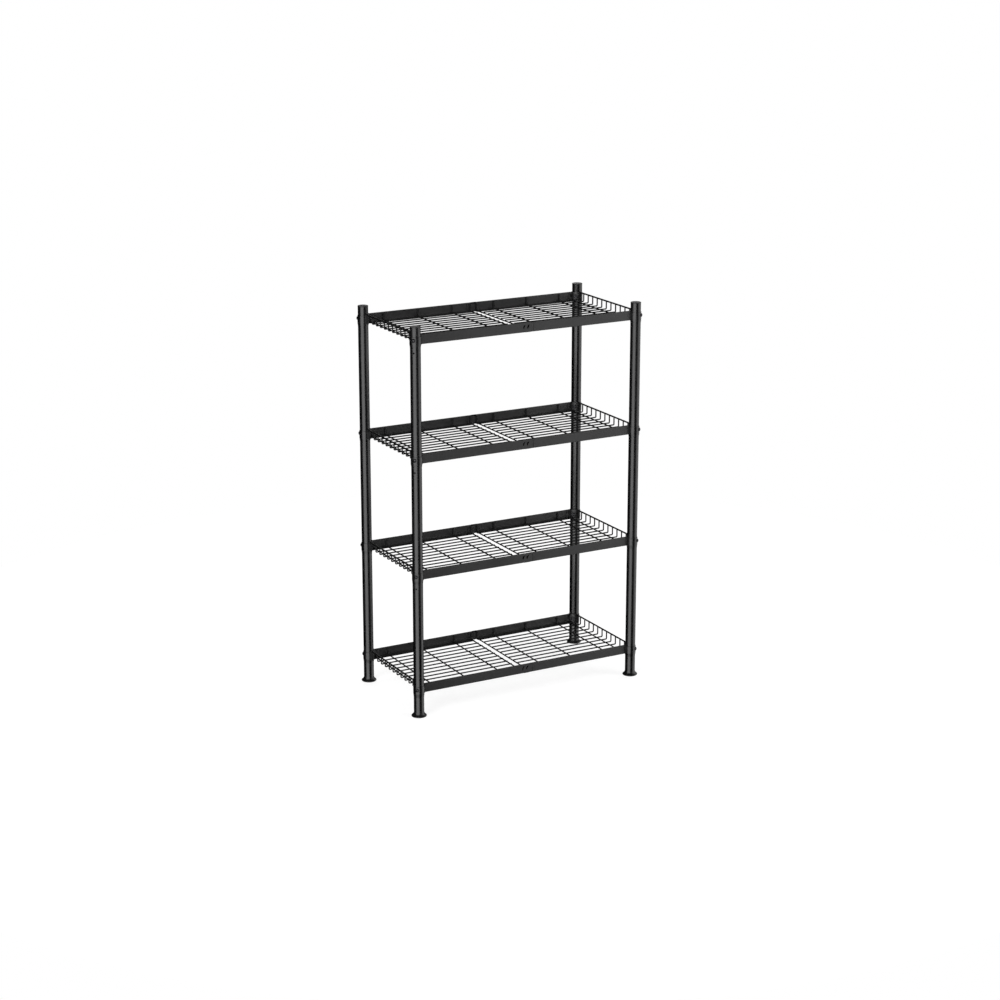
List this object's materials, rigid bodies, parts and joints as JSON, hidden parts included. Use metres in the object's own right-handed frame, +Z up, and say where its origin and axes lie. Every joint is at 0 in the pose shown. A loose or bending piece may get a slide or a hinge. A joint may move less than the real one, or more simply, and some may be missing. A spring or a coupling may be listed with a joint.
{
  "type": "wire shelving rack",
  "caption": "Free-standing wire shelving rack for pots and boxes, with tubular posts that stack and shelves that hook together at the middle.",
  "frame": {"origin": "on the floor, under the middle of the rack, at the bottom centre of its bounding box", "axes": "+X along the shelves to the right, +Y from front to back, +Z up; the longest extent is the height along Z and the shortest is the depth along Y"},
  "size_m": [0.631, 0.314, 0.9516],
  "materials": {
    "coated_tube": "satin black powder coat",
    "coated_sheet": "satin black powder coat",
    "coated_wire": "satin black powder coat",
    "cap_plastic": "satin moulded black",
    "foot_plastic": "satin moulded black",
    "screw_steel": "blackened",
    "nut_steel": "blackened"
  },
  "bodies": {
    "root": {"back_left_cap": "cap_plastic", "back_left_foot": "foot_plastic", "back_left_foot_tube": "coated_tube", "back_left_top_stub": "coated_tube", "back_left_tube_1": "coated_tube", "back_left_tube_2": "coated_tube", "back_left_tube_3": "coated_tube", "back_right_cap": "cap_plastic", "back_right_foot": "foot_plastic", "back_right_foot_tube": "coated_tube", "back_right_top_stub": "coated_tube", "back_right_tube_1": "coated_tube", "back_right_tube_2": "coated_tube", "back_right_tube_3": "coated_tube", "front_left_cap": "cap_plastic", "front_left_foot": "foot_plastic", "front_left_foot_tube": "coated_tube", "front_left_top_stub": "coated_tube", "front_left_tube_1": "coated_tube", "front_left_tube_2": "coated_tube", "front_left_tube_3": "coated_tube", "front_right_cap": "cap_plastic", "front_right_foot": "foot_plastic", "front_right_foot_tube": "coated_tube", "front_right_top_stub": "coated_tube", "front_right_tube_1": "coated_tube", "front_right_tube_2": "coated_tube", "front_right_tube_3": "coated_tube", "post_screws": "screw_steel", "saddle_nuts": "nut_steel", "shelf_1_back_left_rail": "coated_sheet", "shelf_1_back_right_rail": "coated_sheet", "shelf_1_corner_saddles": "coated_sheet", "shelf_1_front_left_rail": "coated_sheet", "shelf_1_front_right_rail": "coated_sheet", "shelf_1_left_deck": "coated_wire", "shelf_1_right_deck": "coated_wire", "shelf_2_back_left_rail": "coated_sheet", "shelf_2_back_right_rail": "coated_sheet", "shelf_2_corner_saddles": "coated_sheet", "shelf_2_front_left_rail": "coated_sheet", "shelf_2_front_right_rail": "coated_sheet", "shelf_2_left_deck": "coated_wire", "shelf_2_right_deck": "coated_wire", "shelf_3_back_left_rail": "coated_sheet", "shelf_3_back_right_rail": "coated_sheet", "shelf_3_corner_saddles": "coated_sheet", "shelf_3_front_left_rail": "coated_sheet", "shelf_3_front_right_rail": "coated_sheet", "shelf_3_left_deck": "coated_wire", "shelf_3_right_deck": "coated_wire", "shelf_4_back_left_rail": "coated_sheet", "shelf_4_back_right_rail": "coated_sheet", "shelf_4_corner_saddles": "coated_sheet", "shelf_4_front_left_rail": "coated_sheet", "shelf_4_front_right_rail": "coated_sheet", "shelf_4_left_deck": "coated_wire", "shelf_4_right_deck": "coated_wire"}
  },
  "joints": []
}
